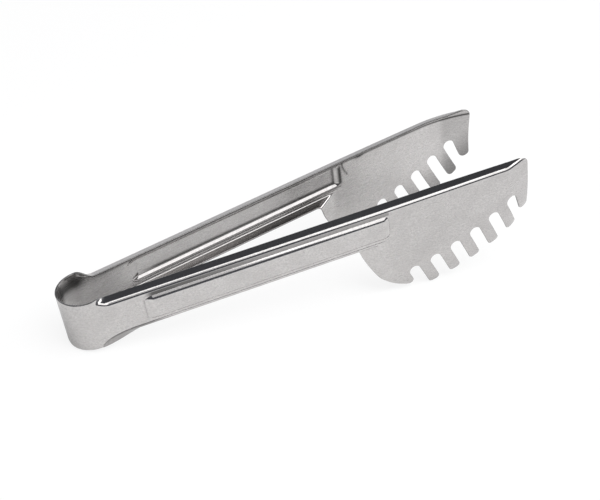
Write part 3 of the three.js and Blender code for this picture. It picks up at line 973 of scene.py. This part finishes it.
def noise(tree, y, scale, detail, roughness):
    """Adds a noise texture with its scale, its detail and the share of the finer detail."""
    node = add(tree, "ShaderNodeTexNoise", -400, y)
    for name, number in (("Scale", scale), ("Detail", detail), ("Roughness", roughness)):
        node.inputs[name].default_value = number
    return node


def sheet_wear():
    """A group that puts out streaks, smudges, grain and pits, each between 0 and 1."""
    group = bpy.data.node_groups.new("sheet_wear", "ShaderNodeTree")
    for name in ("Streaks", "Smudges", "Grain", "Pits"):
        group.interface.new_socket(name, in_out="OUTPUT", socket_type="NodeSocketFloat")
    link = group.links.new
    place = add(group, "ShaderNodeTexCoord", -900, 0)
    ends = add(group, "NodeGroupOutput", 500, 0)

    stretch = add(group, "ShaderNodeMapping", -650, 300)
    unit = BLANK_UNIT * MM
    stretch.inputs["Scale"].default_value = (unit / STREAK_LENGTH, unit / STREAK_WIDTH, 1)
    streak = noise(group, 300, STREAK_SCALE, detail=4, roughness=0.65)
    link(place.outputs["UV"], stretch.inputs["Vector"])
    link(stretch.outputs["Vector"], streak.inputs["Vector"])
    link(streak.outputs["Fac"], ends.inputs["Streaks"])

    smudge = noise(group, 0, 1 / SMUDGE_SIZE, detail=5, roughness=0.6)
    grain = noise(group, -150, 1 / GRAIN_SIZE, detail=2, roughness=0.5)
    for texture, name in ((smudge, "Smudges"), (grain, "Grain")):
        link(place.outputs["Object"], texture.inputs["Vector"])
        link(texture.outputs["Fac"], ends.inputs[name])

    pit = add(group, "ShaderNodeTexVoronoi", -400, -300)
    pit.inputs["Scale"].default_value = 1 / PIT_SPACING
    pick = add(group, "ShaderNodeSeparateColor", -150, -420)
    rare = add(group, "ShaderNodeMath", 50, -420, operation="GREATER_THAN")
    rare.inputs[1].default_value = PIT_RARITY
    near = add(group, "ShaderNodeMapRange", -150, -250)
    near.inputs["From Min"].default_value = PIT_RIM
    near.inputs["From Max"].default_value = PIT_CORE
    both = add(group, "ShaderNodeMath", 250, -300, operation="MULTIPLY")
    link(place.outputs["Object"], pit.inputs["Vector"])
    link(pit.outputs["Color"], pick.inputs["Color"])
    link(pick.outputs["Red"], rare.inputs[0])
    link(pit.outputs["Distance"], near.inputs["Value"])
    link(near.outputs["Result"], both.inputs[0])
    link(rare.outputs["Value"], both.inputs[1])
    link(both.outputs["Value"], ends.inputs["Pits"])
    return group


wear = sheet_wear()
print("wear group puts out", [item.name for item in wear.interface.items_tree])

# %% [markdown]
# The steel itself is one metal shader. Its colour is a pale, slightly warm grey, a little darker in the
# smudges and the grain, and dark in the pits, in painted shade and on torn edges. Roughness falls from the
# satin flats to the rubbed bends, and the streaks give the bump.

# %% Stainless steel
STEEL = (0.575, 0.558, 0.550)
STEEL_SMUDGED = (0.500, 0.484, 0.476)
STEEL_GRAIN = (0.470, 0.456, 0.450)
STEEL_PIT = (0.10, 0.095, 0.09)
# Colour of the painted shade, and of the slight darkening outside.
STEEL_SHADE = (0.080, 0.078, 0.076)
STEEL_TORN = (0.22, 0.215, 0.21)
SMUDGE_NONE, SMUDGE_FULL = 0.6, 0.3
GRAIN_NONE, GRAIN_FULL = 0.65, 0.3
SATIN_LOW, SATIN_HIGH = 0.22, 0.32
RUBBED_ROUGHNESS = 0.11
BUMP_STRENGTH = 0.05
BUMP_HEIGHT = 0.00005


def mark(tree, x, colour, share):
    """Adds a node that mixes a mark's colour into the steel's by a value socket."""
    mix = add(tree, "ShaderNodeMix", x, 350, data_type="RGBA")
    mix.inputs["B"].default_value = (*colour, 1)
    tree.links.new(share, mix.inputs["Factor"])
    return mix


def spread(tree, y, value, low, high, least=0.0, most=1.0):
    """Stretches a value between low and high to the range from least to most."""
    ramp = add(tree, "ShaderNodeMapRange", -900, y)
    for name, number in (("From Min", low), ("From Max", high), ("To Min", least), ("To Max", most)):
        ramp.inputs[name].default_value = number
    tree.links.new(value, ramp.inputs["Value"])
    return ramp.outputs["Result"]


def steel():
    """Metal with wear: colour from the marks, roughness from rubbing and streaks, bump from streaks."""
    material = bpy.data.materials.new("stainless")
    material.use_nodes = True
    tree = material.node_tree
    link = tree.links.new
    shader = tree.nodes["Principled BSDF"]
    shader.inputs["Metallic"].default_value = 1
    marks = add(tree, "ShaderNodeGroup", -1200, 100)
    marks.node_tree = wear
    skin = {}
    for row, name in enumerate(SKINS):
        layer = add(tree, "ShaderNodeAttribute", -1200, -300 - 180 * row, attribute_name=name)
        skin[name] = layer.outputs["Fac"]

    smudged = spread(tree, 400, marks.outputs["Smudges"], SMUDGE_NONE, SMUDGE_FULL)
    grained = spread(tree, 200, marks.outputs["Grain"], GRAIN_NONE, GRAIN_FULL)
    colours = (
        mark(tree, -650, STEEL_SMUDGED, smudged),
        mark(tree, -500, STEEL_GRAIN, grained),
        mark(tree, -350, STEEL_PIT, marks.outputs["Pits"]),
        # Painted shade darkens the steel's colour here.
        mark(tree, -200, STEEL_SHADE, skin["shade_and_darkening"]),
        mark(tree, -50, STEEL_TORN, skin["torn"]),
    )
    colours[0].inputs["A"].default_value = (*STEEL, 1)
    for below, above in zip(colours, colours[1:]):
        link(below.outputs["Result"], above.inputs["A"])
    link(colours[-1].outputs["Result"], shader.inputs["Base Color"])

    rough = add(tree, "ShaderNodeMix", -500, -50, data_type="FLOAT")
    rough.inputs["B"].default_value = RUBBED_ROUGHNESS
    link(spread(tree, 0, marks.outputs["Streaks"], 0, 1, SATIN_LOW, SATIN_HIGH), rough.inputs["A"])
    link(skin["rubbed"], rough.inputs["Factor"])
    link(rough.outputs["Result"], shader.inputs["Roughness"])

    bump = add(tree, "ShaderNodeBump", -230, -300)
    bump.inputs["Strength"].default_value = BUMP_STRENGTH
    bump.inputs["Distance"].default_value = BUMP_HEIGHT
    link(marks.outputs["Streaks"], bump.inputs["Height"])
    link(bump.outputs["Normal"], shader.inputs["Normal"])
    return material


stainless = steel()
for piece in (near_sheet, far_sheet):
    piece.data.materials.append(stainless)
print("steel has", len(stainless.node_tree.nodes), "nodes")

# %% [markdown]
# The bow is the spring of the real tongs. Here each half's place is baked into its points, and the solid
# pieces of the imported part are hidden, so that only the sheet is drawn.

# %% Baking the sheet in place and hiding the solids
for piece, side, body in ((near_sheet, 1, "near_side"), (far_sheet, -1, "far_side")):
    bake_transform(piece)
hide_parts("spring_bow", "near_shoulder", "near_arm", "near_blade")
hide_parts("far_shoulder", "far_arm", "far_blade")
print("pieces:", near_sheet.name, far_sheet.name)

# %% [markdown]
# The floor is a wide white sheet. Steel shows little but its surroundings, so what lies around the
# tongs is part of their finish: white below and at the horizon behind, dark above and on the camera's
# side, and a few bright lamps that draw the white lines along the bends. The floor is shaded as paper
# is, and made white to the eye by a share of its own light.

# %% Floor
FLOOR_HALF = 3.0
PAPER = 0.88
WHITE_TO_EYE = 0.84
WHITE_TO_STEEL = 0.20

floor_mesh = bpy.data.meshes.new("floor")
floor_corners = FLOOR_HALF * np.array(((-1, -1, 0), (1, -1, 0), (1, 1, 0), (-1, 1, 0)))
floor_mesh.from_pydata(floor_corners, [], [(0, 1, 2, 3)])
floor = bpy.data.objects.new("floor", floor_mesh)
bpy.context.scene.collection.objects.link(floor)


def paper():
    """White paper that the eye and the steel see as white, and that still takes a shadow."""
    material = bpy.data.materials.new("paper")
    material.use_nodes = True
    tree = material.node_tree
    link = tree.links.new
    tree.nodes.remove(tree.nodes["Principled BSDF"])
    matt = add(tree, "ShaderNodeBsdfDiffuse", -200, 100)
    matt.inputs["Color"].default_value = (PAPER, PAPER, PAPER, 1)
    light = add(tree, "ShaderNodeEmission", -200, -100)
    path = add(tree, "ShaderNodeLightPath", -800, 200)
    eye = add(tree, "ShaderNodeMath", -500, 300, operation="MULTIPLY")
    eye.inputs[1].default_value = WHITE_TO_EYE
    steel_ray = add(tree, "ShaderNodeMath", -600, 100, operation="MAXIMUM")
    mirror = add(tree, "ShaderNodeMath", -500, 100, operation="MULTIPLY")
    mirror.inputs[1].default_value = WHITE_TO_STEEL
    share = add(tree, "ShaderNodeMath", -350, 200, operation="MAXIMUM")
    mix = add(tree, "ShaderNodeMixShader", 50, 0)
    link(path.outputs["Is Camera Ray"], eye.inputs[0])
    link(path.outputs["Is Glossy Ray"], steel_ray.inputs[0])
    link(path.outputs["Is Transmission Ray"], steel_ray.inputs[1])
    link(steel_ray.outputs["Value"], mirror.inputs[0])
    link(eye.outputs["Value"], share.inputs[0])
    link(mirror.outputs["Value"], share.inputs[1])
    link(share.outputs["Value"], mix.inputs[0])
    link(matt.outputs["BSDF"], mix.inputs[1])
    link(light.outputs["Emission"], mix.inputs[2])
    link(mix.outputs["Shader"], tree.nodes["Material Output"].inputs["Surface"])
    return material


floor_mesh.materials.append(paper())
print("floor", 2 * FLOOR_HALF, "m wide")

# %% [markdown]
# The room is a gradient by height. Behind the tongs it is white at the horizon, as a backdrop is, and
# dim towards the ceiling, so that the flanges that face up look dark. On the camera's side it is dim
# from the horizon up, as a studio is, which gives the panel's walls their dark lines. The ramps read
# only the direction of a ray in the room, so nothing slides when the camera moves.

# %% Room
BACKDROP = ((0.0, 1.0), (0.54, 1.0), (0.60, 0.78), (0.68, 0.70), (0.82, 0.20), (0.92, 0.085), (1.0, 0.085))
CAMERA_SIDE = (
    (0.0, 0.4), (0.48, 0.4), (0.51, 0.34), (0.58, 0.12), (0.80, 0.12), (0.92, 0.085), (1.0, 0.085),
)
DARK_TINT = (0.93, 0.98, 1.10)
FRONT_LIMIT, BEHIND_LIMIT = -0.3, 0.2


def height_ramp(tree, levels, y):
    """A ramp over the height of the ray, from straight down at 0 to straight up at 1."""
    ramp = add(tree, "ShaderNodeValToRGB", -300, y)
    stops = ramp.color_ramp.elements
    while len(stops) < len(levels):
        stops.new(0.5)
    for stop, (place, level) in zip(stops, levels):
        tint = np.array(DARK_TINT) ** (1 - level)
        stop.position = place
        stop.color = (*(level * tint), 1)
    return ramp


def room():
    """White behind the tongs, dimmer on the camera's side, dark overhead."""
    world = bpy.data.worlds.new("room")
    world.use_nodes = True
    tree = world.node_tree
    link = tree.links.new
    ray = add(tree, "ShaderNodeTexCoord", -900, 0)
    parts = add(tree, "ShaderNodeSeparateXYZ", -700, 0)
    height = add(tree, "ShaderNodeMapRange", -500, 0)
    height.inputs["From Min"].default_value = -1
    behind = add(tree, "ShaderNodeMapRange", -300, -500, interpolation_type="SMOOTHSTEP")
    behind.inputs["From Min"].default_value = FRONT_LIMIT
    behind.inputs["From Max"].default_value = BEHIND_LIMIT
    front_ramp, back_ramp = height_ramp(tree, CAMERA_SIDE, 100), height_ramp(tree, BACKDROP, -200)
    mix = add(tree, "ShaderNodeMix", 0, 0, data_type="RGBA")
    link(ray.outputs["Generated"], parts.inputs["Vector"])
    link(parts.outputs["Z"], height.inputs["Value"])
    link(parts.outputs["Y"], behind.inputs["Value"])
    link(height.outputs["Result"], front_ramp.inputs["Fac"])
    link(height.outputs["Result"], back_ramp.inputs["Fac"])
    link(behind.outputs["Result"], mix.inputs["Factor"])
    link(front_ramp.outputs["Color"], mix.inputs["A"])
    link(back_ramp.outputs["Color"], mix.inputs["B"])
    link(mix.outputs["Result"], tree.nodes["Background"].inputs["Color"])
    return world


bpy.context.scene.world = room()
bpy.context.scene.view_settings.view_transform = "Standard"
print("room nodes:", len(bpy.context.scene.world.node_tree.nodes))

# %% [markdown]
# Lamps are flat boxes of light, each given by where it hangs, how wide it is and how bright its face
# is. The tall box beside the camera draws the white lines on the walls and bends, and the card to its
# left the light line on the rear of the near panel. The box overhead draws the second, thinner line,
# and the card at the side lights the fronts of the blades. The wide fill lights only the paper: it is
# kept out of mirror reflections, so that it doesn't wash out the dark flanges.

# %% Lamps
def softbox(name, place, width, height, brightness, in_mirror=True):
    """An area lamp that faces the origin; its power is its face's brightness times pi times its area."""
    data = bpy.data.lights.new(name, "AREA")
    data.shape = "RECTANGLE"
    data.size = width
    data.size_y = height
    data.energy = brightness * np.pi * width * height
    lamp = bpy.data.objects.new(name, data)
    lamp.location = place
    lamp.rotation_euler = (-Vector(place)).to_track_quat("-Z", "Y").to_euler()
    lamp.visible_glossy = in_mirror
    bpy.context.scene.collection.objects.link(lamp)


softbox("tall_box", (0.46, -0.62, 0.79), 1.00, 0.60, 1.8)
softbox("left_card", (-0.128, -0.725, 0.817), 0.32, 0.40, 0.75)
softbox("overhead_box", (-0.14, -0.36, 1.2), 1.15, 0.48, 2.0)
softbox("side_card", (0.80, -0.18, 0.60), 0.50, 0.50, 2.0)
softbox("paper_fill", (0.2, -0.6, 2.0), 2.2, 2.2, 2.60, in_mirror=False)
print("lamps:", sorted(light.name for light in bpy.data.lights))
